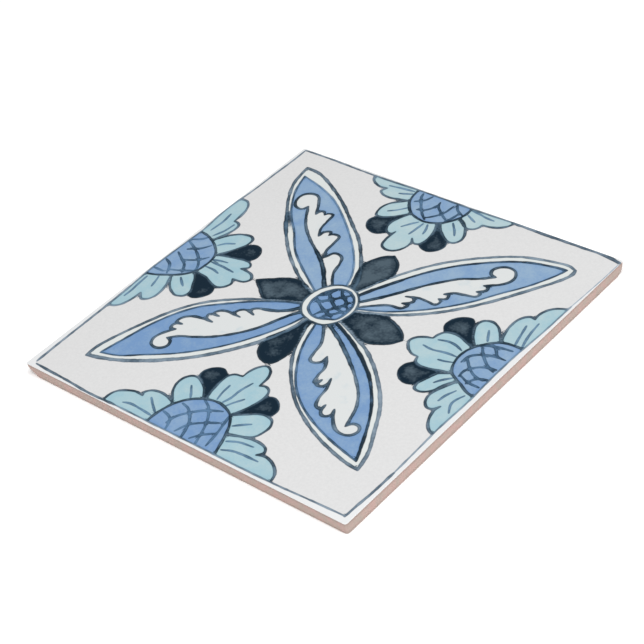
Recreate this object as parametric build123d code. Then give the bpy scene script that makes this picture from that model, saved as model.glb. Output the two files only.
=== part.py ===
from build123d import *
import os

# A square glazed wall tile, pressed and fired as one piece. It lies on its back, glazed face up.
# The origin is the centre of the back, on the plane that the tile is bedded on. Millimetres.

# Outline
side = 152.4
thickness = 4.76
corner_radius = 1.0
edge_draft = 1.5  # degrees, so that the pressed tile leaves the die: the back is a little smaller

# Edges
arris_radius = 0.25  # the crisp edge of the face, just softened by the glaze
heel_chamfer = 0.3  # the broken edge round the back

# Keyed back: a flat rim, and ribs between shallow drafted pockets that the adhesive fills
rim_width = 7.0
pockets_per_side = 6  # even, so that two ribs cross at the centre
rib_width = 4.0
pocket_depth = 0.8
pocket_corner_radius = 2.5
pocket_draft = 20.0  # degrees


def upright_faces(solid):
    """The faces that stand square to the back, with the rounded corners between them."""
    return [face for face in solid.faces() if abs(face.normal_at().Z) < 0.5]


def pressed_blank():
    """The tile without its back pattern: drafted sides, a rounded face arris and a broken heel."""
    blank = extrude(RectangleRounded(side, side, corner_radius), amount=thickness)
    widest_plane = Plane.XY.offset(thickness - arris_radius)
    blank = draft(upright_faces(blank), widest_plane, -edge_draft)
    heel_edges = blank.edges().group_by(Axis.Z)[0]
    blank = chamfer(heel_edges, heel_chamfer)
    face_edges = blank.edges().group_by(Axis.Z)[-1]
    return fillet(face_edges, arris_radius)


def back_pockets():
    """The rows and columns of pockets, as the solids that the die's studs press out of the back."""
    back_side = side - 2 * rim_width
    pitch = (back_side + rib_width) / pockets_per_side
    pocket_side = pitch - rib_width
    stud = extrude(RectangleRounded(pocket_side, pocket_side, pocket_corner_radius), amount=pocket_depth)
    stud = draft(upright_faces(stud), Plane.XY, pocket_draft)
    places = GridLocations(pitch, pitch, pockets_per_side, pockets_per_side)
    return [place * stud for place in places]


tile = pressed_blank() - back_pockets()
tile.label = "tile"

os.makedirs("parts", exist_ok=True)
export_step(tile, "parts/tile.step")
print("volume cm3", round(tile.volume / 1000, 2), "box mm", tile.bounding_box().size)
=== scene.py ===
import math
import bpy
import numpy as np
from mathutils import Matrix, Vector


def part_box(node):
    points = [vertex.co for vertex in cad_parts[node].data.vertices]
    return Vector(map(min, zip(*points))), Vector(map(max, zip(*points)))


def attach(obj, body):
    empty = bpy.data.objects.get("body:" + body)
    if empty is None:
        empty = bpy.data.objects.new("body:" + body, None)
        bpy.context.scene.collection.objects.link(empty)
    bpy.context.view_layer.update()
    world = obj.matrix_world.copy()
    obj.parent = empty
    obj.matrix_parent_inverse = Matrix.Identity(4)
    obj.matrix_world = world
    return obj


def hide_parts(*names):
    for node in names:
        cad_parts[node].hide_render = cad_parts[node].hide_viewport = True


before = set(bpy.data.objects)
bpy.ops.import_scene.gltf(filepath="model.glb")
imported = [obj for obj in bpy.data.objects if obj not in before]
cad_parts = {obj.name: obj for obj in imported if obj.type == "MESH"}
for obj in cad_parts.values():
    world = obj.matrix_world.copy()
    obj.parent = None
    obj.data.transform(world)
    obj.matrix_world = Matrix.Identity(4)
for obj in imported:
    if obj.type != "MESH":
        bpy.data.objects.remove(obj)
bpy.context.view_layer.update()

mm = 0.001


# Camera, fitted to the corners of the tile in the photograph

view = {
    "place": (0.38681, -0.34321, 0.40489),   # metres
    "right": (0.743214, 0.649159, -0.161946),
    "up": (-0.315410, 0.553419, 0.770872),
    "back": (0.590042, -0.521843, 0.616060),
    "lens": 103.02,                          # mm, on a sensor 36 mm wide
    "sensor": 36.0,
}


def setCamera():
    data = bpy.data.cameras.new("camera")
    data.sensor_fit = "HORIZONTAL"
    data.sensor_width = view["sensor"]
    data.lens = view["lens"]
    camera = bpy.data.objects.new("camera", data)
    bpy.context.scene.collection.objects.link(camera)
    turn = Matrix((view["right"], view["up"], view["back"])).transposed()
    camera.matrix_world = Matrix.Translation(view["place"]) @ turn.to_4x4()
    bpy.context.scene.camera = camera


# The tile's own shape: a fine face for the painting, a rolled arris, the edge of the glaze, the raw sides

tile = {
    "cornerRadius": 1.0,     # mm, in plan, at the tile's widest
    "arrisRadius": 0.25,
    "edgeDraft": 1.5,        # degrees
    "heelChamfer": 0.3,
    "faceCells": 272,        # squares along each side of the face
    "cornerCells": 3,        # of these, in each rounded corner
    "arrisSteps": 4,
    "glazeEnd": 4.40,        # height above the back at which the clay lies back under the glaze
    "glazeStep": 0.05,       # how far it lies back
    "glazeWave": 0.07,       # how far that line wanders, in waves: how many round the tile, share, start
    "glazeWaves": ((7, 0.4, 0.3), (19, 0.3, 1.9), (43, 0.3, 4.0)),
    "sideRows": (3.5, 2.6, 1.7, 0.9),
    "clayGrain": 0.035,      # small unevenness of the pressed clay, in waves that each row starts anew
    "clayWaves": ((61, 0.5, 1.0), (97, 0.5, 2.3), (139, 0.4, 0.7)),
    "wornCorners": (         # lower corners knocked off: which one, how deep and how far along, in mm
        {"corner": (-1, -1), "depth": 1.9, "reach": 5.5},
        {"corner": (1, 1), "depth": 1.2, "reach": 4.5},
        {"corner": (1, -1), "depth": 0.35, "reach": 3.0},
    ),
    "wornEase": 1.3,         # more than 1: the wear fades out along the sides
    "wornDrop": 2.2,         # more than 1: the wear is mostly low down
    "pocketReach": 70.0,     # all the back's pockets lie within this, and between these heights
    "pocketHeights": (0.01, 1.0),
    "weld": 0.001,           # points closer than this are one
    "smoothAngle": 32.0,     # degrees; sharper edges stay crisp
}


def roundedOutline(points, core):
    # The corner of the core square that each point belongs to, and the direction outwards from it
    nearest = np.clip(points, -core, core)
    out = points - nearest
    length = np.linalg.norm(out, axis=1, keepdims=True)
    return nearest, out / np.maximum(length, 1e-9)


def smoothWander(turn, waves):
    # A closed line that wanders, from a few waves that fit the way round a whole number of times
    return sum(size * np.sin(2 * np.pi * count * turn + shift) for count, size, shift in waves)


def selectBoundary():
    bpy.ops.mesh.select_all(action="DESELECT")
    bpy.ops.mesh.select_mode(type="EDGE")
    bpy.ops.mesh.select_non_manifold(
        extend=False, use_wire=False, use_boundary=True,
        use_multi_face=False, use_non_contiguous=False, use_verts=False)


def gridLines(half, core):
    # Even lines over the flat, and closer ones where the corners are round
    inCorner = tile["cornerCells"]
    flat = np.linspace(-core, core, tile["faceCells"] - 2 * inCorner + 1)
    corner = np.linspace(core, half, inCorner + 1)[1:]
    return np.concatenate([-corner[::-1], flat, corner])


def meshPoints(obj):
    points = np.empty(len(obj.data.vertices) * 3)
    obj.data.vertices.foreach_get("co", points)
    return points.reshape(-1, 3) / mm


def setMeshPoints(obj, points):
    obj.data.vertices.foreach_set("co", (points * mm).ravel())
    obj.data.update()


def faceGrid(core, thickness):
    cells = tile["faceCells"]
    half = core + tile["cornerRadius"] - tile["arrisRadius"]
    bpy.ops.object.select_all(action="DESELECT")
    bpy.ops.mesh.primitive_grid_add(
        x_subdivisions=cells, y_subdivisions=cells, size=2 * half * mm, location=(0, 0, 0))
    obj = bpy.context.object
    points = meshPoints(obj)
    lines = gridLines(half, core)
    even = np.linspace(-half, half, cells + 1)
    for axis in (0, 1):
        points[:, axis] = np.interp(points[:, axis], even, lines)
    nearest, out = roundedOutline(points[:, :2], core)
    reach = np.abs(points[:, :2] - nearest).max(axis=1, keepdims=True)
    points[:, :2] = nearest + out * reach
    points[:, 2] = thickness
    setMeshPoints(obj, points)
    return obj


def sideRings(thickness):
    # Radius in the corner, height, and what the ring does, from the face's edge down to the back
    arris = tile["arrisRadius"]
    radius = tile["cornerRadius"]
    widest = thickness - arris
    lean = math.tan(math.radians(tile["edgeDraft"]))
    rings = []
    for step in range(1, tile["arrisSteps"] + 1):
        turn = math.radians(90) * step / tile["arrisSteps"]
        height = thickness - arris * (1 - math.cos(turn))
        rings.append((radius - arris * (1 - math.sin(turn)), height, "arris"))
    end = tile["glazeEnd"]
    rings.append((radius - lean * (widest - end) - tile["glazeStep"], end, "clayEdge"))
    for height in tile["sideRows"] + (tile["heelChamfer"],):
        rings.append((radius - lean * (widest - height) - tile["glazeStep"] / 2, height, "clay"))
    bottom = radius - lean * (widest - tile["heelChamfer"]) - tile["heelChamfer"]
    rings.append((bottom, 0.0, "heel"))
    return rings


def wearCorners(points, core, share):
    # Takes the lower corners off towards the middle, by a share that grows downwards
    for worn in tile["wornCorners"]:
        way = np.array(worn["corner"]) / math.sqrt(2)
        along = np.linalg.norm(points - np.array(worn["corner"]) * (core + tile["cornerRadius"]), axis=1)
        near = np.clip(1 - along / worn["reach"], 0, 1)
        points = points - way * (worn["depth"] * share * near ** tile["wornEase"])[:, None]
    return points


def makeBackPockets(cadNode):
    # The pockets of the keyed back, cut from the frame's own node, without that node's stored normals
    mesh = cadNode.data.copy()
    obj = bpy.data.objects.new("pockets", mesh)
    bpy.context.scene.collection.objects.link(obj)
    bpy.ops.object.select_all(action="DESELECT")
    obj.select_set(True)
    bpy.context.view_layer.objects.active = obj
    bpy.ops.mesh.customdata_custom_splitnormals_clear()
    bpy.ops.object.mode_set(mode="EDIT")
    bpy.ops.mesh.select_all(action="SELECT")
    bpy.ops.mesh.remove_doubles(threshold=tile["weld"] * mm)
    bpy.ops.mesh.select_mode(type="FACE")
    bpy.ops.mesh.select_all(action="DESELECT")
    bpy.ops.object.mode_set(mode="OBJECT")
    lowest, highest = tile["pocketHeights"]
    for face in mesh.polygons:
        x, y, z = (value / mm for value in face.center)
        inPocket = lowest < z < highest and max(abs(x), abs(y)) < tile["pocketReach"]
        face.select = not inPocket
    bpy.ops.object.mode_set(mode="EDIT")
    bpy.ops.mesh.delete(type="FACE")
    bpy.ops.object.mode_set(mode="OBJECT")
    return obj


def addRing(obj, core, index, radius, height, kind):
    # One more ring of points round the edge, under the last one; gives back which points are in it
    bpy.ops.object.mode_set(mode="EDIT")
    if index == 0:
        selectBoundary()
    bpy.ops.mesh.extrude_edges_move()
    bpy.ops.object.mode_set(mode="OBJECT")
    picked = np.empty(len(obj.data.vertices), bool)
    obj.data.vertices.foreach_get("select", picked)
    points = meshPoints(obj)
    nearest, out = roundedOutline(points[picked, :2], core)
    turn = np.arctan2(points[picked, 1], points[picked, 0]) / (2 * np.pi)
    spread = np.full(picked.sum(), radius)
    rise = np.full(picked.sum(), height)
    if kind == "clayEdge":
        rise += tile["glazeWave"] * smoothWander(turn, tile["glazeWaves"])
    if kind in ("clay", "heel"):
        waves = [(count, size, shift * index) for count, size, shift in tile["clayWaves"]]
        spread -= tile["clayGrain"] * (0.5 + 0.5 * smoothWander(turn, waves))
    sunk = np.clip(1 - height / tile["glazeEnd"], 0, 1) ** tile["wornDrop"]
    points[picked, :2] = wearCorners(nearest + out * spread[:, None], core, sunk)
    points[picked, 2] = rise
    setMeshPoints(obj, points)
    return picked


def closeBack(obj):
    # Joins the pockets on, and fills the flat rim and ribs between them and the last ring
    pockets = makeBackPockets(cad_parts["tile"])
    bpy.ops.object.select_all(action="DESELECT")
    pockets.select_set(True)
    obj.select_set(True)
    bpy.context.view_layer.objects.active = obj
    bpy.ops.object.join()
    bpy.ops.object.mode_set(mode="EDIT")
    selectBoundary()
    bpy.ops.mesh.fill(use_beauty=True)
    bpy.ops.mesh.select_all(action="SELECT")
    bpy.ops.mesh.normals_make_consistent(inside=False)
    bpy.ops.object.mode_set(mode="OBJECT")


def makeTile():
    # The whole tile, and for each point the number of the ring that it is in: none, for the face
    low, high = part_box("tile")
    thickness = (high[2] - low[2]) / mm
    core = (high[0] - low[0]) / mm / 2 - tile["cornerRadius"]
    obj = faceGrid(core, thickness)
    obj.name = "glazedTile"
    ring = np.zeros(len(obj.data.vertices), int)
    for index, (radius, height, kind) in enumerate(sideRings(thickness)):
        picked = addRing(obj, core, index, radius, height, kind)
        ring = np.resize(ring, len(picked))
        ring[picked] = index + 1
    closeBack(obj)
    bpy.ops.object.shade_smooth_by_angle(angle=math.radians(tile["smoothAngle"]))
    onBack = np.full(len(obj.data.vertices) - len(ring), ring.max())
    print("tile shaped:", len(obj.data.vertices), "points,", len(obj.data.polygons), "faces")
    return obj, np.concatenate([ring, onBack])


# The washes, in the order in which they are laid: from a light to a deep colour, by how much slow
# clouds, fine grain and the pool along the edge deepen them, and how many mm wide that pool is

washLooks = (
    {"name": "ring", "light": "between", "deep": "between",
     "vary": 0.0, "grain": 0.0, "pooling": 0.0, "reach": 1.5},
    {"name": "blue", "light": "blueLight", "deep": "blueDeep",
     "vary": 1.5, "grain": 0.8, "pooling": 0.45, "reach": 1.5},
    {"name": "pale", "light": "leafLight", "deep": "leafTint",
     "vary": 0.0, "grain": 0.0, "pooling": 0.0, "reach": 1.5},
    {"name": "aqua", "light": "aquaLight", "deep": "aquaDeep",
     "vary": 1.5, "grain": 0.7, "pooling": 0.45, "reach": 1.5},
    {"name": "dark", "light": "navyLight", "deep": "navyDeep",
     "vary": 2.1, "grain": 1.1, "pooling": 0.75, "reach": 3.2},
)

# Brushwork: every outline is a few points, in millimetres on the face, that a smooth stroke runs through

brush = {
    "reach": 3.0,        # mm round a stroke in which it is worked out
    "far": 9.0,          # the distance given to points that nothing is near
    "pace": 0.8,         # mm between the points of a stroke
    "share": 12,         # steps of a stroke that are measured at a time
    "turnStart": 10,     # steps of a closed one after which it may be back at its start
    "pressure": 3.0,     # mm over which the brush comes down to its full width
    "liftedEnd": 0.62,   # the width at a stroke's ends, as a share of its middle
    "spill": 1.2,        # mm round a wash that share its tone
}


def stepsBetween(start, end):
    return max(2, int(np.linalg.norm(end - start) / brush["pace"]) + 1)


def smoothRun(points):
    # A smooth curve through the points; the ends are straight on
    points = np.array(points, float)
    if len(points) < 3:
        t = np.linspace(0, 1, stepsBetween(points[0], points[-1]))[:, None]
        return points[0] + t * (points[-1] - points[0])
    knots = np.concatenate([[0], np.cumsum(np.sqrt(np.linalg.norm(np.diff(points, axis=0), axis=1)))])
    gaps = np.diff(knots)
    slopes = np.diff(points, axis=0) / gaps[:, None]
    inner = (slopes[:-1] * gaps[1:, None] + slopes[1:] * gaps[:-1, None]) / (gaps[1:] + gaps[:-1])[:, None]
    tangents = np.vstack([slopes[:1], inner, slopes[-1:]])
    pieces = []
    for index, gap in enumerate(gaps):
        start, end = points[index], points[index + 1]
        t = np.linspace(0, 1, stepsBetween(start, end), endpoint=False)[:, None]
        pieces.append(
            (2 * t**3 - 3 * t**2 + 1) * start + (t**3 - 2 * t**2 + t) * gap * tangents[index]
            + (3 * t**2 - 2 * t**3) * end + (t**3 - t**2) * gap * tangents[index + 1])
    return np.vstack(pieces + [points[-1:]])


def closedRun(points):
    # A smooth closed outline, run once round with some of it twice and then cut to one turn
    run = smoothRun(points[-3:] + points + points[:4])
    away = np.linalg.norm(run - np.array(points[0]), axis=1)
    first = int(np.argmin(away))
    away[:first + brush["turnStart"]] = np.inf
    return run[first:int(np.argmin(away)) + 1]


def placed(run, origin, heading):
    # From a motif's own frame, outwards and to the left, to the face
    along = np.array(heading, float) / np.linalg.norm(heading)
    left = np.array((-along[1], along[0]))
    return np.array(origin) + run[:, :1] * along + run[:, 1:] * left


class Layer:
    # The strokes of one brush: what each point knows of the nearest one
    def __init__(self, count):
        self.edge = np.full(count, brush["far"])
        self.offset = np.full((count, 3), brush["far"])
        self.half = np.full(count, 0.5)
        self.tone = np.full(count, 0.8)


class Painting:
    # What the face's points know of the brushwork near them, as distances in millimetres
    def __init__(self, points):
        self.points = points
        self.byRow = np.argsort(points[:, 1])
        self.rows = points[self.byRow, 1]
        count = len(points)
        self.washes = {look["name"]: np.full(count, brush["far"]) for look in washLooks}
        self.tone = np.full(count, 0.5)
        self.layers = {name: Layer(count) for name in ("broad", "fine")}

    def distanceTo(self, path, reach):
        # To the nearest place on a path: how far, which way, and how far along the path that place is
        distance = np.full(len(self.points), brush["far"])
        way = np.full((len(self.points), 2), brush["far"])
        along = np.zeros(len(self.points))
        share = brush["share"]
        for first in range(0, len(path) - 1, share):
            piece = path[first:first + share + 1]
            low = piece.min(axis=0) - reach
            high = piece.max(axis=0) + reach
            picked = np.nonzero(((self.points > low) & (self.points < high)).all(axis=1))[0]
            step = np.diff(piece, axis=0)
            away = self.points[picked, None, :] - piece[None, :-1]
            t = np.clip((away * step).sum(axis=2) / np.maximum((step**2).sum(axis=1), 1e-12), 0, 1)
            gap = t[..., None] * step - away
            length = np.sqrt((gap**2).sum(axis=2))
            best = length.argmin(axis=1)
            rows = np.arange(len(picked))
            closer = length[rows, best] < distance[picked]
            rows, best, picked = rows[closer], best[closer], picked[closer]
            distance[picked] = length[rows, best]
            way[picked] = gap[rows, best]
            along[picked] = (first + best + t[rows, best]) / (len(path) - 1)
        return distance, way, along

    def inside(self, path):
        # The points that a line to the right from crosses the closed path an odd number of times
        within = np.zeros(len(self.points), bool)
        for (ax, ay), (bx, by) in zip(path, np.roll(path, -1, axis=0)):
            first, last = np.searchsorted(self.rows, sorted((ay, by)))
            if first < last:
                band = self.byRow[first:last]
                crossing = ax + (self.points[band, 1] - ay) * (bx - ax) / (by - ay)
                within[band] ^= self.points[band, 0] < crossing
        return within

    def stroke(self, path, width, tone, closed=False, layer="broad"):
        distance, way, along = self.distanceTo(path, brush["reach"])
        half = np.full(len(distance), width / 2)
        if not closed:
            length = len(path) * brush["pace"]
            pressed = np.clip(np.minimum(along, 1 - along) * length / brush["pressure"], 0, 1)
            half *= brush["liftedEnd"] + (1 - brush["liftedEnd"]) * np.sqrt(pressed)
        laid = self.layers[layer]
        closer = distance - half < laid.edge
        laid.edge[closer] = (distance - half)[closer]
        laid.offset[closer, :2] = way[closer]
        laid.offset[closer, 2] = distance[closer]
        laid.half[closer] = half[closer]
        laid.tone[closer] = tone

    def shape(self, path):
        # The distance to a closed outline, less than nothing inside
        closed = np.vstack([path, path[:1]])
        distance = self.distanceTo(closed, brush["reach"])[0]
        return np.where(self.inside(path), -distance, distance)

    def wash(self, kind, path, tone=None):
        # Lays one wash on top of the others, which it hides
        distance = self.shape(path)
        for name, field in self.washes.items():
            field[:] = np.minimum(field, distance) if name == kind else np.maximum(field, -distance)
        if tone is not None:
            self.tone[distance < brush["spill"]] = tone

    def clear(self, distance):
        # Wipes all the strokes and washes where the distance is less than nothing
        for field in self.washes.values():
            field[:] = np.maximum(field, -distance)
        for layer in self.layers.values():
            layer.edge[distance < 0] = brush["far"]
            layer.offset[distance < 0] = brush["far"]


# Petals: four long ones from the boss to the corners, each with a scrolled leaf in it.
# Points run outwards from the boss's centre and to the left of the line to the tip.

petals = {
    "northEast": {
        "tip": (65.2, 63.6), "tone": 0.30, "leafTone": 0.86,
        "outerTones": (0.52, 0.60), "outerWidths": (1.35, 1.6),
        "innerTones": (0.88, 0.74), "innerWidths": (1.25, 0.95),
        "outerLeft": [(8, 5), (20, 10.2), (30, 13.4), (40, 15.2), (48, 15.5), (60, 14.5), (70, 12.2),
                      (80, 7), (85.5, 3.2), (87.4, 0)],
        "outerRight": [(8, -5.4), (20, -10), (30, -12), (40, -12.6), (50, -11.8), (60, -10),
                       (70, -7.5), (80, -4.8), (85.6, -2.4), (87.4, 0)],
        "innerLeft": [(8, 2.2), (20, 6.8), (30, 10), (40, 12), (47, 12.5), (60, 11.5), (70, 9.2),
                      (80, 4), (84.5, 0.8)],
        "innerRight": [(8, -3.9), (20, -8.2), (30, -9.8), (40, -10.2), (50, -9.3), (60, -7), (70, -5),
                       (80, -1.5), (84.5, 0.8)],
        "leaf": [
            [(9, -0.6), (20, 0.5), (30, 3), (40, 4.3), (47, 4.6), (53, 3.2), (59.5, 2.6)],
            [(59.5, 2.6), (58, 4.6), (58.6, 7), (61, 8), (64.2, 7.3), (66.5, 4.6), (66.4, 1.6),
             (64.6, -0.8), (61, -1.9), (54.8, -1.2)],
            [(54.8, -1.2), (56.2, -2.2), (55.4, -4.2), (52, -4)],
            [(52, -4), (53.2, -5.6), (51.6, -6.7), (47.5, -4.8), (44, -3), (40.6, -2.8)],
            [(40.6, -2.8), (42.2, -3.6), (41.2, -5.8), (38.4, -5)],
            [(38.4, -5), (39, -6.8), (37, -8), (34.6, -5.7), (31.6, -3), (27, -1)],
            [(27, -1), (29.6, -2.4), (29.4, -4.8), (25.5, -4.5)],
            [(25.5, -4.5), (27.4, -6.4), (25, -7.4), (21, -4.8), (16, -3.7), (9, -3.4)],
        ],
    },
    "northWest": {
        "tip": (-66.0, 66.4), "tone": 0.32, "leafTone": 0.88,
        "outerTones": (0.66, 0.78), "outerWidths": (1.45, 1.5),
        "innerTones": (0.69, 0.43), "innerWidths": (1.0, 0.9),
        "outerLeft": [(8, 5), (15.6, 8.3), (25, 10.5), (35, 11.8), (47, 12.1), (60, 10.8), (72, 9),
                      (81, 6.2), (90.3, 0)],
        "outerRight": [(7, -9.4), (13, -12), (25, -14), (36, -14.4), (48, -12.9), (60, -11.4),
                       (70, -9.2), (84, -4.6), (90.3, 0)],
        "innerLeft": [(8, 4.2), (15, 5.8), (27, 8.3), (37, 9.6), (50, 8.9), (58, 9.2), (66, 8.4),
                      (76, 5.9), (84.8, 1.5)],
        "innerRight": [(8, -6), (14.4, -9.2), (22, -11), (32, -11.7), (42, -11.3), (55, -9.9),
                       (65, -7.9), (75, -3.9), (84.8, 1.5)],
        "leaf": [
            [(10, 1.2), (20, 0.5), (27, 0.6), (36, 2.3), (45, 3.8), (53, 4.1), (63.8, 2.1)],
            [(63.8, 2.1), (62.8, 4.8), (64.4, 6.4), (67, 7), (70.4, 5.6), (72.3, 2.9), (71.6, -0.2),
             (69.4, -2.3), (64.5, -2.1), (57.6, -0.3)],
            [(57.6, -0.3), (58.8, -2), (58, -3.7), (55.9, -3.5)],
            [(55.9, -3.5), (56.3, -5), (55, -6.7), (51.5, -4.1), (47.5, -1.2), (43.2, 0)],
            [(43.2, 0), (45, -2.6), (44.2, -4.8), (42.4, -3.8)],
            [(42.4, -3.8), (42.4, -5.6), (40.2, -7.5), (36.8, -5), (33, -1.8), (29, -0.4)],
            [(29, -0.4), (30, -2.6), (30.6, -4.4), (29.2, -6.2), (26.6, -7), (23.8, -6), (18.2, -2.9),
             (10, -1.6)],
        ],
    },
    "southWest": {
        "tip": (-59.4, -61.2), "tone": 0.85, "leafTone": 0.82,
        "outerTones": (0.60, 0.62), "outerWidths": (1.9, 1.45),
        "innerTones": (0.77, 0.72), "innerWidths": (0.95, 1.1),
        "outerLeft": [(8, 4), (15, 8.4), (26.9, 12.3), (35, 13.4), (44, 13.7), (56.2, 12.7),
                      (70.6, 9.2), (80, 5.3), (88.7, 0)],
        "outerRight": [(8, -4.6), (18.8, -9.5), (32.5, -14.5), (45, -16.7), (54, -15.9), (64, -13),
                       (75, -8.6), (84.4, -3.9), (88.7, 0)],
        "innerLeft": [(8, 2.6), (15, 5.8), (27.5, 9.1), (38, 10.5), (48.8, 10.4), (58, 9.2),
                      (68.8, 6.4), (77, 4.2), (83.8, 0.2)],
        "innerRight": [(8, -3), (15, -7), (27.5, -11.4), (38, -13.5), (47, -14.7), (55, -13.6),
                       (65, -10.1), (75, -4.8), (83.8, 0.2)],
        "leaf": [
            [(9, 0.3), (15, 0.8), (20, 2.4), (27, 4.4), (35, 5), (43, 4.2), (50, 2.1), (55, 0),
             (59.4, -0.6)],
            [(59.4, -0.6), (58.4, 1.7), (59.2, 3.8), (61.2, 4.6), (63.6, 3.9), (65.3, 1.2),
             (64.2, -1.9), (61, -3.7), (56, -4.4)],
            [(56, -4.4), (57.8, -5.8), (56.4, -7.6), (53.6, -6.6)],
            [(53.6, -6.6), (55.4, -8.8), (52.8, -10.4), (49, -9.6), (46, -7.4), (42.7, -4.2)],
            [(42.7, -4.2), (44.5, -6.9), (43.4, -9.2), (40, -6.8)],
            [(40, -6.8), (41.9, -9.1), (39.6, -9.9), (36.6, -8.4), (34.6, -6), (32.6, -3.8)],
            [(32.6, -3.8), (34.4, -6.6), (32.6, -7.8), (30, -7.2), (27.7, -3.5)],
            [(27.7, -3.5), (28.6, -6.6), (26.2, -6.8), (22.6, -4.9), (18, -2.7), (14, -1.9), (9, -2.4)],
        ],
    },
    "southEast": {
        "tip": (63.5, -55.5), "tone": 0.70, "leafTone": 0.71,
        "outerTones": (0.53, 0.68), "outerWidths": (1.5, 1.4),
        "innerTones": (1.04, 0.72), "innerWidths": (1.25, 1.0),
        "outerLeft": [(8, 1.8), (15, 4.7), (23, 7.8), (29, 9.7), (39, 11.3), (50, 11.6), (60, 10.6),
                      (70, 7.6), (80, 4.4), (87.3, 0)],
        "outerRight": [(8, -9), (20, -14.5), (30, -16.8), (40, -17.3), (50, -16.5), (60, -14),
                       (70, -10.2), (80, -5), (87.3, 0)],
        "innerLeft": [(8, 0), (14, 2.3), (22.4, 5.2), (31.4, 7.4), (41, 8.8), (50, 8.9), (60, 7.6),
                      (70, 4.8), (83, 0)],
        "innerRight": [(8, -5.8), (20, -12), (30, -14.8), (40, -16), (50, -15), (60, -12), (70, -7.5),
                       (83, 0)],
        "leaf": [
            [(9, -2.2), (14, -0.6), (20.8, 1.2), (30, 2.9), (39.8, 4.2), (50, 4.4), (57, 3),
             (62, 0.5), (65.4, -1.6)],
            [(65.4, -1.6), (64.9, 1), (66.8, 2.9), (69, 2.4), (70.2, 0), (69, -3), (66, -5),
             (60.5, -5.2), (56, -4.3)],
            [(56, -4.3), (58.6, -6), (58.2, -8.4), (56, -9), (53, -7)],
            [(53, -7), (54.4, -9), (52.6, -10.2), (49, -9), (45, -6), (40, -3.8)],
            [(40, -3.8), (42.4, -5.2), (43.2, -7.4), (41.8, -9), (39.8, -7)],
            [(39.8, -7), (40.4, -9.6), (37, -8), (34, -5.5), (28, -4)],
            [(28, -4), (30.2, -6), (29.8, -9), (27.8, -10), (24.6, -8.2), (20, -5.2), (9, -3.2)],
        ],
    },
}

heavyPasses = {
    "northEast": [
        {"points": [(9, 2.9), (14, 4.9), (20, 6.9), (27, 9)], "width": 1.7, "tone": 1.05},
        {"points": [(9, -0.6), (15, 0), (24, 1.5), (33, 3.4)], "width": 1.6, "tone": 0.9}],
    "northWest": [
        {"points": [(10, 1.2), (15, 0.8), (20, 0.5), (27, 0.7), (35, 2.1)], "width": 1.9, "tone": 1.1},
        {"points": [(47, 12.1), (52, 11.9), (57, 11.2), (62, 10.5)], "width": 1.9, "tone": 0.95}],
    "southWest": [
        {"points": [(9, -2.4), (14, -1.9), (19, -3), (24, -5.6)], "width": 1.9, "tone": 0.95},
        {"points": [(9, 0.3), (14, 0.7), (19, 2), (24, 3.6)], "width": 1.5, "tone": 0.95}],
    "southEast": [
        {"points": [(9, 0.3), (14, 2.4), (22.4, 5.2), (31.4, 7.4), (41, 8.8), (45, 9.1)],
         "width": 1.6, "tone": 1.4},
        {"points": [(10, 2.7), (15, 4.7), (19, 6.3), (23, 7.8)],
         "width": 1.4, "tone": 1.0, "layer": "broad"},
        {"points": [(9, -2.2), (14, -0.6), (20.8, 1.2), (30, 2.9), (37, 3.9)],
         "width": 1.7, "tone": 0.85}],
}

petalBrush = {"outer": "broad", "inner": "fine", "leaf": "broad", "leafWidth": 1.3}

# The boss: a netted disc in a white ring, and the four dark leaves behind it. Points from its own centre.

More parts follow.
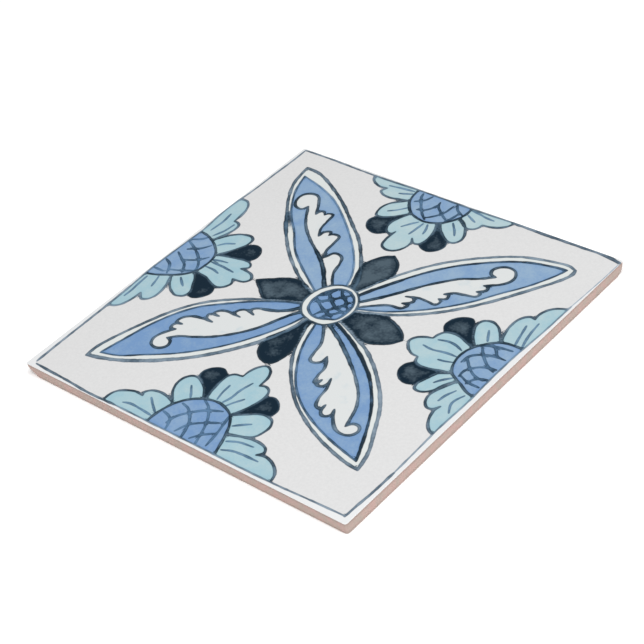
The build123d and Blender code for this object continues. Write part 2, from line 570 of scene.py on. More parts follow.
boss = {
    "centre": (0.07, 4.42),
    "ring": [(9.9, 0), (8.6, 5.2), (5.3, 9.2), (1, 11.3), (-4.4, 10.7), (-8.8, 7), (-10.8, 1),
             (-10, -4.2), (-6.4, -8.5), (-0.5, -10.3), (4.6, -9.8), (8.4, -6)],
    "disc": [(8, 0.5), (7.4, 3.7), (5.4, 6.8), (1.6, 9.2), (-2.8, 9), (-6, 6.2), (-7.7, 2.4),
             (-7.6, -2), (-5.8, -5.6), (-1.6, -7.8), (1.6, -7.6), (4.4, -6.4), (7, -5)],
    "discTone": 0.95,
    "net": [
        [(-5.9, 5.9), (-3.6, 3.9), (-1.6, 2.3), (0.6, 0.9), (2.6, -0.3), (5, -0.7), (7, -1.1)],
        [(-2, 8.8), (0, 6.6), (1.6, 5.5), (3.6, 4.5), (5, 2.7), (6.8, 1.4)],
        [(-7, 0.6), (-5.2, -0.6), (-3, -2), (-0.8, -3.1), (1.6, -3.9), (4.4, -4.6)],
        [(-6, -1), (-3.9, 0.6), (-2, 2.5), (-0.4, 4.2), (1.3, 6), (3, 8)],
        [(-3.4, 8.4), (-4.5, 6.4), (-5.2, 4.4), (-6.8, 2.6)],
        [(5.4, 4.6), (4, 1.7), (2.5, -0.5), (0.8, -2.6), (-0.6, -4.4), (-1.6, -6.4)],
        [(7, 0.4), (6, -1.2), (4.6, -2.9), (3, -4.6), (1.4, -6.2)],
    ],
    "leaves": {
        "north": {"tone": 0.05, "outline": [
            [(0.3, 10), (-1.7, 14.9), (-3.6, 19.3), (-4.9, 23.5), (-3.9, 27.4), (-1.7, 31), (1.9, 33.8)],
            [(1.9, 33.8), (6.1, 30.6), (8.2, 27.1), (8.8, 23.6), (7.8, 20.5), (5.5, 16.2), (2.9, 10.2)]]},
        "east": {"tone": 0.28, "outline": [
            [(9, 1.6), (12.8, 1.7), (15.6, 3.2), (18.9, 4.6), (22.8, 4.7), (27.2, 3.5), (31.7, 1.2),
             (35.2, -2.3)],
            [(35.2, -2.3), (32.2, -5.9), (28.3, -8.2), (25, -9.4), (21.7, -9.2), (17.8, -7.4),
             (13.3, -5.7), (8.6, -4.4)]]},
        "south": {"tone": 0.80, "outline": [
            [(-2.3, -9), (-3.6, -16.2), (-6.1, -21.2), (-8, -26), (-6.8, -30.6), (-3.9, -34),
             (0.6, -35.8)],
            [(0.6, -35.8), (3, -34.4), (4.1, -31.4), (4.4, -26.8), (3.3, -21.8), (1.1, -16.8), (0, -9)]]},
        "west": {"tone": 0.26, "outline": [
            [(-9, 0.6), (-12.8, 2.7), (-15.6, 4.3), (-20.6, 5.2), (-25, 3.8), (-29.4, 1), (-34.3, -2.3)],
            [(-34.3, -2.3), (-30, -5.4), (-23.9, -9.2), (-21, -7.9), (-16.1, -5.4), (-9, -3)]]},
    },
    "ringBrush": {"width": 0.95, "tone": 0.78},
    "discBrush": {"width": 1.15, "tone": 0.78, "layer": "fine"},
    "netBrush": {"width": 1.4, "tone": 0.82, "layer": "fine"},
    "leafBrush": {"width": 1.30, "tone": 1.10},
}

# Half florets: one at the middle of each side. Points run inwards from the side and to the left of that.

florets = {
    "south": {
        "middle": (1.65, -76.28), "inward": (0, 1), "tone": 0.70, "domeTone": 0.75, "darkTone": 0.70,
        "sideInk": 0.78, "heartInk": 0.80, "netInk": 0.58,
        "sides": [
            [[(0, 37.5), (4.2, 37.8), (6.9, 36.7), (9, 33.8), (10.2, 30.2), (9.9, 26.9)],
             [(9.9, 26.9), (11.4, 27.7), (13.3, 26.4), (14.4, 23.4), (14.2, 19), (12.6, 14)]],
            [[(10.6, -12.6), (12.4, -17.2), (13.6, -22.6), (13.5, -26.4), (12.6, -28.9), (10.8, -30),
              (8.7, -28.3)],
             [(8.7, -28.3), (9.7, -31), (9.2, -34.2), (7.6, -37.4), (4.9, -40), (0, -41.3)]]],
        "buds": [
            [(12, 14.3), (14.6, 16.9), (17.4, 19.3), (21.1, 20.9), (24.4, 20.6), (26.6, 18.8),
             (27, 16.4), (25.6, 12.8), (23.4, 9.8), (19, 6.2)],
            [(18.2, -7), (21.1, -11), (23.7, -14.8), (24.7, -18.6), (23.9, -21.6), (21.1, -23.2),
             (17.4, -22.9), (14.2, -21.2), (11, -12.4)]],
        "dark": [
            [(19.5, 6.2), (23, 9.2), (26, 12.8), (27, 15.6), (28.8, 16.9), (31.3, 16.8), (33.9, 14.6),
             (35, 11.5), (33, 7.4)],
            [(31.8, -11.6), (32.8, -14.8), (31.4, -17.9), (28.7, -19.9), (25.6, -19.7), (24.6, -17.2),
             (23.4, -13.8), (21.2, -10.8), (18.6, -7.4)]],
        "heart": [
            [(18, 5.8), (20.5, 6.2), (24.9, 7.3), (29.2, 7.8), (32.9, 7.7), (34.9, 5.9), (35.5, 2.8)],
            [(35.5, 2.8), (38.6, 2.6), (41.8, 1.4), (43.9, -1), (42.9, -3.6), (39.9, -5.4), (34.9, -5.8)],
            [(34.9, -5.8), (35.7, -7.8), (34.8, -10.2), (32, -11.5), (28, -11), (23.6, -9.7),
             (17.6, -6.6)]],
        "dome": [(-1, 16), (5, 16.1), (9.9, 15.2), (13.7, 13.6), (16.8, 11.2), (19.6, 7.1), (20.9, 3),
                 (20.9, -1.4), (18.6, -7), (14.6, -10.5), (10.5, -12.6), (6.8, -14.1), (-1, -16.8)],
        "net": [
            [(8, 14.6), (7.3, 11.4), (6, 9.5), (3.3, 8.1), (1, 7.4)],
            [(14.4, 11.5), (13.6, 8.4), (11.4, 5.2), (7.4, 2.1), (2.7, 0.3), (1, -0.2)],
            [(19.9, 6.5), (18, 2.8), (14.9, -0.4), (10.5, -3.2), (4.3, -5.7), (1, -6.8)],
            [(18.3, -7.2), (13.6, -8.5), (8.6, -9.7), (3, -10.5)],
            [(4.3, 9.6), (8.6, 8.7), (13, 5.2), (16.1, 1.5), (18.6, -3.8)],
            [(2.7, 4), (7.4, 2.1), (11.1, -2.2), (13.6, -6.6)],
            [(2.7, -2.9), (6.1, -5.4), (9.2, -9.1)]],
        "veins": [
            [(3.8, 30.6), (4.7, 27.5), (4.6, 22.8), (4.1, 17.1)], [(10.8, 23.4), (8.6, 20.6), (6, 16.8)],
            [(22.7, 15.4), (20.5, 13.4), (17.9, 11.2)],
            [(22.1, 2.4), (25.5, 3.2), (29.6, 3.5)],
            [(22.1, -0.4), (24.9, -1.3), (29.9, -1.6), (34.6, -2.8)],
            [(21.1, -2.6), (23.6, -3.8), (26.9, -5.9)],
            [(14.9, -11.6), (16.8, -13.8), (18.9, -16.8)],
            [(4.3, -16.3), (5.8, -19.8), (6.4, -24.1), (6.6, -31)],
            [(8.3, -15), (10.2, -19.1), (11, -25)]],
    },
    "west": {
        "middle": (-76.14, -0.73), "inward": (1, 0), "tone": 0.72, "domeTone": 0.45, "darkTone": 0.75,
        "sideInk": 0.56, "heartInk": 0.88, "netInk": 0.62,
        "sides": [
            [[(0, 38), (4.2, 38.2), (6.4, 36.5), (8, 33.4), (8.7, 29.6), (8.8, 25.9)],
             [(8.8, 25.9), (10.6, 25.9), (12.3, 24.8), (12.8, 22.2), (12.2, 18.8), (9.6, 12.6)]],
            [[(11, -11.4), (13, -15.4), (14.4, -19.8), (14.4, -23.6), (13, -26.3), (10.8, -27.2),
              (8, -24.6)],
             [(8, -24.6), (8, -28), (7.4, -31), (6.1, -34), (3.9, -35.6), (0, -35.8)]]],
        "buds": [
            [(9.8, 12.6), (12.7, 17.1), (16.1, 20.3), (19.2, 21.5), (21.8, 21.8), (23.8, 20.2),
             (23.9, 17.1), (22.4, 13.7), (19.9, 9.6), (17, 6)],
            [(17, -5.2), (19.9, -7.6), (22.7, -11.6), (24.6, -14.8), (24.2, -17.6), (21.1, -19.2),
             (17.4, -17.9), (14.2, -15.4), (11, -11.2)]],
        "dark": [
            [(17, 6), (19.9, 9.4), (23, 13.8), (24.9, 17.1), (27.1, 18.4), (30.2, 17.8), (32.4, 15.2),
             (32.7, 12), (30.6, 9)],
            [(31.2, -8.8), (32.1, -11.9), (30.5, -15), (27.4, -17.1), (24.9, -16.2), (24.6, -14.2),
             (22.7, -11), (19.9, -7.2), (17, -4.6)]],
        "heart": [
            [(17, 6.4), (21.8, 7.8), (26.1, 8.7), (29.9, 9.5), (33, 9), (34.4, 7.1), (32, 4.9)],
            [(32, 4.9), (35.5, 4.9), (38.3, 4), (39.9, 1.8), (38.6, -0.4), (36.1, -1.1), (33.4, -1.2)],
            [(33.4, -1.2), (35, -3.5), (34.2, -6), (31.7, -7.9), (28, -7.2), (24.9, -6), (21.8, -5.3),
             (17, -4.8)]],
        "dome": [(-1, 14.7), (3.6, 14.4), (7.4, 13.4), (11.4, 11.5), (14.9, 9), (17.1, 6.4),
                 (18.2, 3), (18.3, 0), (17.9, -3.5), (16.8, -6), (13, -9.7), (9.2, -11.9),
                 (5.5, -13.8), (-1, -15.7)],
        "net": [
            [(7.4, 13.7), (5.5, 11.2), (2.1, 9)], [(11.8, 9.9), (9.2, 6.5), (4.9, 3.7)],
            [(16.1, 4), (13.6, 0.9), (10.5, -1), (7.4, -2.2)], [(16.8, -4.8), (12.4, -7.2), (7.4, -9.1)],
            [(1.4, -10.9), (6.1, -10.9)],
            [(1.8, 7.8), (6.1, 5.9), (10.5, 3.4), (13.6, 0.9), (16.1, -2.2), (17.4, -5)],
            [(3, 0.6), (7.4, -1.9), (10.8, -4.1), (13.3, -7.9)], [(1.8, -4.8), (5.5, -6.6), (8.3, -11)]],
        "veins": [
            [(4.3, 28.7), (5, 23.4), (4.6, 17)], [(10.4, 24), (9.6, 19), (8, 15.2)],
            [(19.2, 15.2), (16.1, 13.7), (13.9, 11.2)],
            [(18.3, 3.7), (21.8, 4.6), (24.9, 5.1)], [(18.6, 2.4), (24.2, 2.4), (30.8, 1.8)],
            [(18.6, -0.7), (23, -0.7), (26.1, -1.5)],
            [(15.2, -10.4), (17.4, -12.2), (19.6, -13.8)],
            [(3, -16.3), (3.3, -21), (3.8, -25.4), (3.8, -29.1)],
            [(7.1, -14.1), (8, -16.6), (8.9, -19.8)]],
    },
    "north": {
        "middle": (-3.24, 76.14), "inward": (0, -1), "tone": 0.28, "domeTone": 0.35, "darkTone": 0.50,
        "sideInk": 0.70, "heartInk": 0.80, "netInk": 0.72,
        "sides": [
            [[(0, 32.2), (2.7, 31.5), (5.2, 29.3), (6.8, 25.9), (7.3, 22.3)],
             [(7.3, 22.3), (8.9, 22.2), (10.8, 20.9), (11.6, 18.4), (8, 12)]],
            [[(7.8, -11.4), (9.2, -16), (10, -19.8), (9.6, -23.8), (8, -25.9), (5.6, -24.8)],
             [(5.6, -24.8), (6.1, -27.9), (5.2, -31), (3.3, -33.5), (0, -34.4)]]],
        "buds": [
            [(7.6, 12), (9.2, 15.2), (12.4, 18.4), (16.1, 20.6), (18.6, 21), (21.1, 19.6),
             (21.4, 17.1), (19.9, 14), (16.8, 10.2), (13, 7)],
            [(13.4, -5.6), (16.8, -8.5), (19.6, -11.6), (21.4, -15.1), (21, -17.6), (17.4, -18.8),
             (13.6, -17.9), (10.8, -15.4), (8, -11.6)]],
        "dark": [
            [(13, 7.4), (16.8, 10.2), (19.9, 14), (22.1, 17.1), (24.9, 18.1), (28, 16.8), (29.8, 14),
             (29.2, 10.9), (27.6, 8.2)],
            [(28.6, -7.2), (30.3, -9.8), (30.2, -12.9), (28.6, -16), (25.2, -17.9), (22.4, -16.9),
             (20.8, -13.5), (18.6, -9.8), (14, -5.8)]],
        "heart": [
            [(14.4, 6.6), (19.2, 8.9), (24.9, 9.6), (27.8, 8.6), (28.3, 6.5), (26.2, 4.1)],
            [(26.2, 4.1), (28.6, 5.5), (32.4, 5.2), (35.5, 2.8), (36.3, -0.4), (34.9, -3.2),
             (31.1, -4.3), (26, -4)],
            [(26, -4), (28, -4.8), (27.4, -7.2), (24.9, -9), (21.8, -9.2), (18, -7.9), (13.8, -5.6)]],
        "dome": [(-1, 12.2), (3.6, 12.9), (6.8, 12.4), (10.5, 10.6), (13.3, 8.1), (14.9, 5.2),
                 (15.8, 2), (15.5, -1.6), (14.6, -4.8), (12.4, -8.2), (8.6, -11.3), (4.9, -12.6),
                 (-1, -13)],
        "net": [
            [(6.1, 12.1), (4.2, 8.4), (1.4, 6.2)], [(11.4, 8.4), (8.6, 4), (5.5, 0.3), (3.3, -0.5)],
            [(14.9, 0.9), (11.1, -3.5), (7.4, -6.6), (4.2, -9.1), (1.8, -9.9)],
            [(5.5, 10.2), (9.2, 9.6), (13, 8.4)], [(3, 5.6), (8, 4.9), (11.4, 2.8), (13.9, 0.2)],
            [(4.6, 0), (8.3, -1.3), (10.5, -3.5), (11.1, -5.7)], [(1.8, -5.4), (4.9, -6.6), (7.4, -9.8)]],
        "veins": [
            [(3.1, 24.6), (2.9, 20.9), (2.1, 16.5), (1.8, 13.4)], [(7.1, 18.7), (6.1, 16.5), (4.9, 14)],
            [(17.4, 17.1), (14.6, 14.9), (11.4, 11.8)],
            [(16.8, 4), (19.2, 5.2), (22.1, 6)], [(17.1, 2.1), (21.1, 1.8), (24.6, 1.4)],
            [(17.1, -0.1), (19.2, -1.9), (22.4, -4.1)],
            [(11.8, -9.4), (14.9, -12.2), (17.1, -15.1)],
            [(2.4, -13.8), (3, -19.1), (3.9, -25)], [(3.9, -12.9), (5.2, -16), (6.1, -18.5)]],
    },
    "east": {
        "middle": (76.28, 5.61), "inward": (-1, 0), "tone": 0.55, "domeTone": 0.40, "darkTone": 0.42,
        "sideInk": 0.70, "heartInk": 0.70, "netInk": 0.70,
        "sides": [
            [[(0, 35.8), (3.9, 34.9), (6.8, 32.4), (8.6, 29), (9.3, 25.8), (8.6, 23.5)],
             [(8.6, 23.5), (9.9, 25.7), (12, 26.2), (14.2, 24.6), (15.4, 21.5), (14.6, 17.1),
              (12.7, 13.4), (11, 10.4)]],
            [[(10.6, -12.4), (12.4, -16.6), (13.3, -21), (13.1, -24.8), (11.8, -27.6), (9.9, -29),
              (8, -28.5)],
             [(8, -28.5), (8.4, -30.4), (7.7, -33.5), (5.5, -36.6), (0, -39.1)]]],
        "buds": [
            [(11.4, 10), (14.2, 14.6), (15.8, 18.6), (18.6, 20.9), (21.8, 20.9), (22.6, 17.8),
             (21.4, 14.6), (19.9, 11), (15.6, 8.4)],
            [(16.4, -6), (19.9, -9.1), (22.4, -12.6), (23.8, -16), (23.3, -18.8), (20.5, -20.2),
             (16.8, -19.1), (13.6, -16), (10.8, -12.2)]],
        "dark": [
            [(19, 9.6), (20.5, 12.8), (22.1, 17.1), (23.6, 19.3), (26.8, 20.2), (30.2, 19),
             (32.4, 16.2), (32.4, 12.8), (30, 9.6)],
            [(31.2, -7.4), (33.3, -10.4), (33, -14.1), (30.5, -16.9), (26.8, -17.9), (24.6, -16),
             (23.3, -13.5), (21.1, -9.8), (17, -5.8)]],
        "heart": [
            [(15.6, 8), (19.9, 9.3), (24.9, 10.6), (28.6, 10.6), (30.5, 9.3), (31.1, 7.4)],
            [(31.1, 7.4), (34.2, 7.1), (37.4, 4.9), (39.1, 2.1), (38, -0.4), (35.5, -2.1), (32.6, -3)],
            [(32.6, -3), (32.4, -5.1), (30.8, -7.6), (28, -8.5), (24.9, -8.2), (21.1, -6.9),
             (16.6, -5.4)]],
        "dome": [(-1, 14.6), (5.5, 13.4), (9.2, 11.5), (12.7, 9.9), (15.8, 8.1), (17.7, 5.2),
                 (18.9, 0.9), (18.7, -2.9), (17.1, -6.6), (14.2, -10.1), (10.5, -12.8), (6.1, -13.6),
                 (-1, -13.4)],
        "net": [
            [(8.3, 10.2), (7.4, 7.4), (4.9, 5.6), (0.8, 5.1)],
            [(12.7, 8.4), (12.7, 5.2), (10.5, 2.1), (7.4, 0.2), (3.6, -0.5)],
            [(16.4, 2.1), (15.8, -1.6), (13, -4.1), (8.6, -5.7), (3.9, -6)],
            [(16.4, -7.6), (13, -9.4), (8.6, -10.5), (4.6, -11)],
            [(3.3, 9.6), (8, 9.3), (12.4, 7.8)], [(4.2, 6.2), (8, 5.6), (11.8, 3.4), (15.8, -0.4)],
            [(3.9, 0.9), (7.4, -0.7), (11.4, -3.8), (14.9, -7.6)],
            [(4.2, -6), (7.4, -6.3), (10.2, -9.1), (12.4, -10.4)]],
        "veins": [
            [(4.2, 24.6), (6.2, 21), (6.2, 18.4), (4.9, 15.2)], [(11, 21.5), (10.5, 18.4), (8.9, 14.6)],
            [(18, 15.1), (16.4, 12.8), (13.9, 10.2)],
            [(18.6, 3.7), (21.4, 4.6), (24.1, 5.1)], [(19.2, 0.8), (24.2, 1), (29.2, 2), (33.3, 1.6)],
            [(19.9, -2.6), (23, -3.8), (26.4, -4.2), (30.5, -3.2)],
            [(15.2, -11), (16.8, -13.5), (18.3, -15.9)],
            [(3, -14.1), (4.6, -19.8), (5.5, -27.2)], [(5.8, -13.8), (7.1, -18.5), (8.5, -24.2)]],
    },
}

floretBrush = {
    "side": {"width": 1.2},
    "bud": {"width": 1.15, "tone": 0.78},
    "heart": {"width": 1.15},
    "dark": {"width": 0.80, "tone": 0.95},
    "dome": {"width": 1.20, "tone": 0.86},
    "net": {"width": 1.15, "layer": "fine"},
    "vein": {"width": 1.05, "tone": 0.50, "layer": "fine"},
}

# How far in the washes run on under the parts laid over them, as shares of the way out

floretUnder = {"foot": 0.3, "dark": 0.5}

# The border: one thin line round the face, which wanders, with a whiter margin outside it.
# It is drawn in a few strokes, from the near left corner along the near side and on round.

border = [
    {"points": [(-72.4, -74.3), (-64.7, -74.6), (-55.5, -74.8), (-44.2, -75.4), (-30, -75)],
     "width": 1.1, "tone": 0.66},
    {"points": [(-30, -75), (0, -74.9), (15, -74.8), (30, -74.8), (45, -74.5), (60, -73.8),
                (73.6, -73.3)],
     "width": 0.85, "tone": 0.47},
    {"points": [(73.5, -73.5), (73.7, -69), (74.2, -61), (74.4, -50)], "width": 1.15, "tone": 0.62},
    {"points": [(74.4, -50), (74.1, -38), (73.8, -26), (74.2, -12), (73.8, 2), (73.9, 16), (74.7, 30),
                (75, 46)],
     "width": 0.8, "tone": 0.36},
    {"points": [(75, 46), (75.5, 56), (75.8, 64), (75.9, 73)], "width": 0.45, "tone": 0.0},
    {"points": [(75.8, 74.2), (71.2, 75.1), (66, 75.7), (57.8, 75.6), (49, 75.4), (38, 75.6), (28, 75.6)],
     "width": 1.9, "tone": 0.67},
    {"points": [(28, 75.6), (15, 75.2), (0, 75.2), (-15, 75.3), (-30, 74.9), (-45, 74.9), (-60, 75.3),
                (-74.4, 75.2)],
     "width": 0.95, "tone": 0.6},
    {"points": [(-74.6, 75.2), (-74.4, 68), (-74.7, 56), (-74.8, 44), (-75.6, 33), (-75.4, 25),
                (-74.5, 16), (-74.8, 6), (-75.1, -4), (-75.2, -13), (-74.5, -24)],
     "width": 0.9, "tone": 0.48},
    {"points": [(-74.5, -24), (-74, -38), (-73.8, -53.6), (-73.6, -64), (-73.3, -73.2)],
     "width": 1.15, "tone": 0.5},
]


def paintPetals(face):
    centre = np.array(boss["centre"])
    for side, petal in petals.items():
        heading = np.array(petal["tip"]) - centre
        lines = {}
        for part in ("outer", "inner"):
            left = placed(smoothRun(petal[part + "Left"]), centre, heading)
            right = placed(smoothRun(petal[part + "Right"]), centre, heading)
            lines[part] = (left, right)
        leaf = [placed(smoothRun(run), centre, heading) for run in petal["leaf"]]
        face.wash("ring", np.vstack([lines["outer"][0], lines["outer"][1][::-1]]))
        face.wash("blue", np.vstack([lines["inner"][0], lines["inner"][1][::-1]]), petal["tone"])
        face.wash("pale", np.vstack(leaf))
        for part in ("outer", "inner"):
            for index, run in enumerate(lines[part]):
                width = petal[part + "Widths"][index]
                face.stroke(run, width, petal[part + "Tones"][index], layer=petalBrush[part])
        for run in leaf:
            face.stroke(run, petalBrush["leafWidth"], petal["leafTone"], layer=petalBrush["leaf"])
        for heavy in heavyPasses[side]:
            run = placed(smoothRun(heavy["points"]), centre, heading)
            face.stroke(run, heavy["width"], heavy["tone"], layer=heavy.get("layer", "fine"))


def paintLeaves(face):
    centre = np.array(boss["centre"])
    for leaf in boss["leaves"].values():
        runs = [centre + smoothRun(run) for run in leaf["outline"]]
        face.wash("dark", np.vstack(runs), leaf["tone"])
        for run in runs:
            face.stroke(run, **boss["leafBrush"])


def paintBoss(face):
    centre = np.array(boss["centre"])
    ring = centre + closedRun(boss["ring"])
    disc = centre + closedRun(boss["disc"])
    face.clear(face.shape(ring))
    face.wash("ring", ring)
    face.wash("blue", disc, boss["discTone"])
    for run in boss["net"]:
        face.stroke(centre + smoothRun(run), **boss["netBrush"])
    face.stroke(disc, closed=True, **boss["discBrush"])
    face.stroke(ring, closed=True, **boss["ringBrush"])


def paintFlorets(face):
    for floret in florets.values():
        middle, inward = floret["middle"], floret["inward"]
        runs = {part: [placed(smoothRun(run), middle, inward) for run in floret[part]]
                for part in ("buds", "dark", "heart", "net", "veins")}
        for side in floret["sides"]:
            lobes = [placed(smoothRun(run), middle, inward) for run in side]
            foot = np.array([(0, side[0][0][1] * floretUnder["foot"])])
            face.wash("aqua", np.vstack(lobes + [placed(foot, middle, inward)]), floret["tone"])
            for run in lobes:
                face.stroke(run, tone=floret["sideInk"], **floretBrush["side"])
        for run, points in zip(runs["dark"], floret["dark"]):
            under = np.mean([points[0], points[-1]], axis=0, keepdims=True) * (1, floretUnder["dark"])
            face.wash("dark", np.vstack([run, placed(under, middle, inward)]), floret["darkTone"])
            face.stroke(run, **floretBrush["dark"])
        for run in runs["buds"]:
            face.wash("aqua", run, floret["tone"])
            face.stroke(run, **floretBrush["bud"])
        face.wash("aqua", np.vstack(runs["heart"]), floret["tone"])
        for run in runs["heart"]:
            face.stroke(run, tone=floret["heartInk"], **floretBrush["heart"])
        dome = placed(smoothRun(floret["dome"]), middle, inward)
        face.clear(face.shape(dome))
        face.wash("blue", dome, floret["domeTone"])
        face.stroke(dome, **floretBrush["dome"])
        for run in runs["net"]:
            face.stroke(run, tone=floret["netInk"], **floretBrush["net"])
        for run in runs["veins"]:
            face.stroke(run, **floretBrush["vein"])


def paintBorder(face):
    runs = [smoothRun(line["points"]) for line in border]
    margin = face.shape(np.vstack([run[:-1] for run in runs]))
    face.clear(-margin)
    for run, line in zip(runs, border):
        face.stroke(run, line["width"], line["tone"])
    return margin


def addAttribute(obj, name, kind, values):
    layer = obj.data.attributes.new(name, kind, "POINT")
    field = "vector" if kind == "FLOAT_VECTOR" else "value"
    layer.data.foreach_set(field, np.ascontiguousarray(values, dtype=np.float32).ravel())


def paintTile(obj, ring):
    points = meshPoints(obj)
    face = Painting(points[:, :2])
    paintPetals(face)
    paintLeaves(face)
    paintBoss(face)
    paintFlorets(face)
    margin = paintBorder(face)
    offFace = ring > tile["arrisSteps"] - 1
    for name, field in face.washes.items():
        field[offFace] = brush["far"]
        addAttribute(obj, name + "Wash", "FLOAT", field)
    addAttribute(obj, "washTone", "FLOAT", face.tone)
    for name, layer in face.layers.items():
        layer.offset[offFace] = brush["far"]
        addAttribute(obj, name + "Offset", "FLOAT_VECTOR", layer.offset)
        addAttribute(obj, name + "Half", "FLOAT", layer.half)
        addAttribute(obj, name + "Tone", "FLOAT", layer.tone)
    addAttribute(obj, "margin", "FLOAT", margin)
    print("tile painted")


# Colours as they are on the fired tile, in linear light

colours = {
    "ground": (0.722, 0.722, 0.722),
    "groundDeep": (0.676, 0.676, 0.678),
    "margin": (0.775, 0.786, 0.794),
    "between": (0.700, 0.733, 0.722),
    "leafLight": (0.690, 0.712, 0.712),
    "leafTint": (0.500, 0.610, 0.660),
    "blueLight": (0.290, 0.420, 0.570),
    "blueDeep": (0.178, 0.310, 0.535),
    "aquaLight": (0.470, 0.600, 0.625),
    "aquaDeep": (0.340, 0.528, 0.605),
    "navyLight": (0.074, 0.110, 0.140),
    "navyDeep": (0.004, 0.017, 0.033),
    "inkThin": (0.165, 0.275, 0.390),
    "inkFull": (0.005, 0.019, 0.034),
    "fineThin": (0.130, 0.275, 0.475),
    "clayPink": (0.628, 0.439, 0.398),
    "clayBeige": (0.542, 0.447, 0.394),
    "clayDark": (0.361, 0.258, 0.223),
}


class Nodes:
    # Short names for making and joining nodes in one tree
    def __init__(self, tree):
        self.tree = tree

    def add(self, kind, place, **values):
        node = self.tree.nodes.new(kind)
        node.location = place
        for name, value in values.items():
            setattr(node, name, value)
        return node

    def link(self, start, end):
        self.tree.links.new(start, end)

    def feed(self, node, **inputs):
        for name, value in inputs.items():
            socket = node.inputs[name.replace("_", " ")]
            if hasattr(value, "links"):
                self.link(value, socket)
            else:
                socket.default_value = value

    def math(self, operation, first, second, place, third=None):
        node = self.add("ShaderNodeMath", place, operation=operation)
        for socket, value in zip(node.inputs, (first, second, third)):
            if value is None:
                continue
            if hasattr(value, "links"):
                self.link(value, socket)
            else:
                socket.default_value = value
        return node.outputs["Value"]

    def noise(self, vector, scale, detail, place):
        node = self.add("ShaderNodeTexNoise", place)
        self.feed(node, Vector=vector, Scale=scale, Detail=detail)
        return node.outputs["Fac"]

    def span(self, value, low, high, place, start=0.0, end=1.0, smooth=True):
        node = self.add("ShaderNodeMapRange", place)
        node.interpolation_type = "SMOOTHSTEP" if smooth else "LINEAR"
        self.link(value, node.inputs["Value"])
        for name, number in (("From Min", low), ("From Max", high), ("To Min", start), ("To Max", end)):
            node.inputs[name].default_value = number
        return node.outputs["Result"]

    def mix(self, factor, first, second, place):
        node = self.add("ShaderNodeMix", place, data_type="RGBA")
        sockets = [
            socket for socket in node.inputs
            if socket.type == "RGBA" or socket.identifier == "Factor_Float"]
        for socket, value in zip(sockets, (factor, first, second)):
            if hasattr(value, "links"):
                self.link(value, socket)
            elif isinstance(value, tuple):
                socket.default_value = value + (1.0,)
            else:
                socket.default_value = value
        return next(socket for socket in node.outputs if socket.type == "RGBA")


def newGroup(name, inputs, outputs):
    group = bpy.data.node_groups.new(name, "ShaderNodeTree")
    for label, kind, value in inputs:
        socket = group.interface.new_socket(label, in_out="INPUT", socket_type=kind)
        if value is not None:
            socket.default_value = value
    for label, kind in outputs:
        group.interface.new_socket(label, in_out="OUTPUT", socket_type=kind)
    nodes = Nodes(group)
    source = nodes.add("NodeGroupInput", (-1200, 0))
    target = nodes.add("NodeGroupOutput", (600, 0))
    return group, nodes, source.outputs, target.inputs


def makeMottle():
    # Slow and fine unevenness of a fired surface, above and below nothing, from a place in millimetres
    group, nodes, given, wanted = newGroup(
        "firedMottle",
        [("Place", "NodeSocketVector", None), ("Slow", "NodeSocketFloat", 12.0),
         ("Fine", "NodeSocketFloat", 0.7)],
        [("Tone", "NodeSocketFloat"), ("Grain", "NodeSocketFloat")])
    slowScale = nodes.math("DIVIDE", 1.0, given["Slow"], (-1000, 200))
    fineScale = nodes.math("DIVIDE", 1.0, given["Fine"], (-1000, -200))
    slow = nodes.noise(given["Place"], slowScale, 3.0, (-800, 200))
    fine = nodes.noise(given["Place"], fineScale, 2.0, (-800, -200))
    nodes.link(nodes.math("SUBTRACT", slow, 0.5, (-500, 200)), wanted["Tone"])
    nodes.link(nodes.math("SUBTRACT", fine, 0.5, (-500, -200)), wanted["Grain"])
    return group


def makeWash():
    # How far a wash of thin colour covers a place, and where it pools dark along its edge
    group, nodes, given, wanted = newGroup(
        "colourWash",
        [("Distance", "NodeSocketFloat", 9.0), ("Wobble", "NodeSocketFloat", 0.0),
         ("Soft", "NodeSocketFloat", 0.3), ("Reach", "NodeSocketFloat", 1.5)],
        [("Cover", "NodeSocketFloat"), ("Pool", "NodeSocketFloat")])
    edge = nodes.math("ADD", given["Distance"], given["Wobble"], (-900, 0))
    ratio = nodes.math("DIVIDE", edge, given["Soft"], (-700, 0))
    nodes.link(nodes.span(ratio, 1.0, -1.0, (-500, 100)), wanted["Cover"])
    inwards = nodes.math("DIVIDE", edge, given["Reach"], (-700, -200))
    nodes.link(nodes.span(inwards, -1.0, -0.06, (-500, -200)), wanted["Pool"])
    return group


def attribute(nodes, name, place):
    node = nodes.add("ShaderNodeAttribute", place, attribute_type="GEOMETRY", attribute_name=name)
    return node.outputs["Vector"] if name.endswith("Offset") else node.outputs["Fac"]


def placeInMm(nodes):
    spot = nodes.add("ShaderNodeTexCoord", (-2600, 0)).outputs["Object"]
    scale = nodes.add("ShaderNodeVectorMath", (-2400, 0), operation="SCALE")
    nodes.link(spot, scale.inputs[0])
    scale.inputs["Scale"].default_value = 1 / mm
    return scale.outputs["Vector"]


def newMaterial(name):
    material = bpy.data.materials.new(name)
    material.use_nodes = True
    material.node_tree.nodes.clear()
    nodes = Nodes(material.node_tree)
    output = nodes.add("ShaderNodeOutputMaterial", (1400, 0))
    shader = nodes.add("ShaderNodeBsdfPrincipled", (1100, 0))
    nodes.link(shader.outputs["BSDF"], output.inputs["Surface"])
    return material, nodes, shader


def useGroup(nodes, group, place, **inputs):
    node = nodes.add("ShaderNodeGroup", place, node_tree=group)
    nodes.feed(node, **inputs)
    return node.outputs


